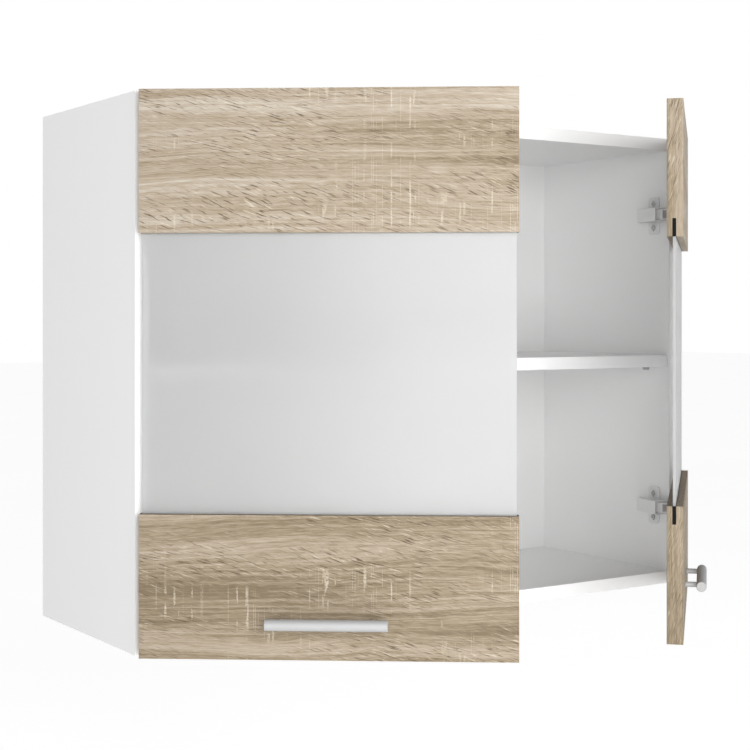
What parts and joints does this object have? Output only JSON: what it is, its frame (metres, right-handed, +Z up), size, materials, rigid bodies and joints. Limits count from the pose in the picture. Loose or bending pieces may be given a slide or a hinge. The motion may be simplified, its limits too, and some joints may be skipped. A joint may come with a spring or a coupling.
{
  "type": "hanging wall cabinet",
  "caption": "Hanging wall cabinet with a white carcass, a shelf and two oak-decor doors with frosted glass on concealed hinges.",
  "frame": {"origin": "middle of the back, in the plane of the wall", "axes": "+X to the right seen from the front, +Y into the wall, +Z up; the doors face -Y"},
  "size_m": [0.8072, 0.5576, 0.6],
  "materials": {
    "white_board": "white coated chipboard, satin",
    "white_hardboard": "white coated hardboard, satin",
    "oak_board": "light oak decor with sawn texture, matte",
    "beech_dowel": "raw beech",
    "frosted_glass": "frosted",
    "black_gasket": "matte",
    "satin_handle": "satin",
    "nickel_hinge": "nickel plated, satin",
    "zinc_cam": "die-cast zinc",
    "zinc_plate": "zinc plated",
    "zinc_fastener": "zinc plated"
  },
  "bodies": {
    "cabinet": {"left_side_panel": "white_board", "right_side_panel": "white_board", "top_panel": "white_board", "bottom_panel": "white_board", "back_panel": "white_hardboard", "shelf": "white_board", "shelf_pins": "zinc_fastener", "cam_discs": "zinc_cam", "cam_bolts": "zinc_fastener", "wood_dowels": "beech_dowel", "back_panel_nails": "zinc_fastener", "left_hanging_plate": "zinc_plate", "right_hanging_plate": "zinc_plate", "hanging_plate_screws": "zinc_fastener", "left_upper_hinge_plate": "nickel_hinge", "left_lower_hinge_plate": "nickel_hinge", "right_upper_hinge_plate": "nickel_hinge", "right_lower_hinge_plate": "nickel_hinge", "hinge_plate_screws": "zinc_fastener", "left_upper_hinge_arm": "nickel_hinge", "left_lower_hinge_arm": "nickel_hinge", "right_upper_hinge_arm": "nickel_hinge", "right_lower_hinge_arm": "nickel_hinge", "hinge_arm_rivets": "zinc_fastener", "hinge_arm_pins": "zinc_fastener", "hinge_springs": "zinc_fastener"},
    "left_long_links": {"left_upper_long_link": "nickel_hinge", "left_lower_long_link": "nickel_hinge"},
    "right_long_links": {"right_upper_long_link": "nickel_hinge", "right_lower_long_link": "nickel_hinge"},
    "left_short_links": {"left_upper_short_link": "nickel_hinge", "left_lower_short_link": "nickel_hinge"},
    "right_short_links": {"right_upper_short_link": "nickel_hinge", "right_lower_short_link": "nickel_hinge"},
    "left_door": {"left_door_upper_panel": "oak_board", "left_door_lower_panel": "oak_board", "left_door_glass": "frosted_glass", "left_door_upper_gasket": "black_gasket", "left_door_lower_gasket": "black_gasket", "left_upper_hinge_cup": "nickel_hinge", "left_lower_hinge_cup": "nickel_hinge", "left_cup_screws": "zinc_fastener", "left_cup_pins": "zinc_fastener", "left_handle_bar": "satin_handle", "left_handle_posts": "satin_handle", "left_handle_screws": "zinc_fastener"},
    "right_door": {"right_door_upper_panel": "oak_board", "right_door_lower_panel": "oak_board", "right_door_glass": "frosted_glass", "right_door_upper_gasket": "black_gasket", "right_door_lower_gasket": "black_gasket", "right_upper_hinge_cup": "nickel_hinge", "right_lower_hinge_cup": "nickel_hinge", "right_cup_screws": "zinc_fastener", "right_cup_pins": "zinc_fastener", "right_handle_bar": "satin_handle", "right_handle_posts": "satin_handle", "right_handle_screws": "zinc_fastener"}
  },
  "joints": [
    {"name": "left_long_link_pivot", "type": "hinge", "parent": "cabinet", "child": "left_long_links", "pos_m": [-0.364, -0.253, 0], "axis": [0, 0, 1], "range_deg": [-12.11, 18.8]},
    {"name": "left_door_swing", "type": "hinge", "parent": "left_long_links", "child": "left_door", "pos_m": [-0.3868, -0.27404, 0], "axis": [0, 0, -1], "range_deg": [-49.29, 76.58]},
    {"name": "left_short_link_pivot", "type": "hinge", "parent": "cabinet", "child": "left_short_links", "pos_m": [-0.378, -0.268, 0], "axis": [0, 0, 1], "range_deg": [-22.64, 35.16]},
    {"name": "right_long_link_pivot", "type": "hinge", "parent": "cabinet", "child": "right_long_links", "pos_m": [0.364, -0.253, 0], "axis": [0, 0, -1], "range_deg": [-14.32, 16.59]},
    {"name": "right_door_swing", "type": "hinge", "parent": "right_long_links", "child": "right_door", "pos_m": [0.38597, -0.27491, 0], "axis": [0, 0, 1], "range_deg": [-58.3, 67.58]},
    {"name": "right_short_link_pivot", "type": "hinge", "parent": "cabinet", "child": "right_short_links", "pos_m": [0.378, -0.268, 0], "axis": [0, 0, -1], "range_deg": [-26.77, 31.03]}
  ],
  "couplings": [
    {"joint": "left_long_link_pivot", "follows": "left_door_swing", "ratio": 0.24528},
    {"joint": "left_short_link_pivot", "follows": "left_door_swing", "ratio": 0.45887},
    {"joint": "right_long_link_pivot", "follows": "right_door_swing", "ratio": 0.24528},
    {"joint": "right_short_link_pivot", "follows": "right_door_swing", "ratio": 0.45887}
  ]
}
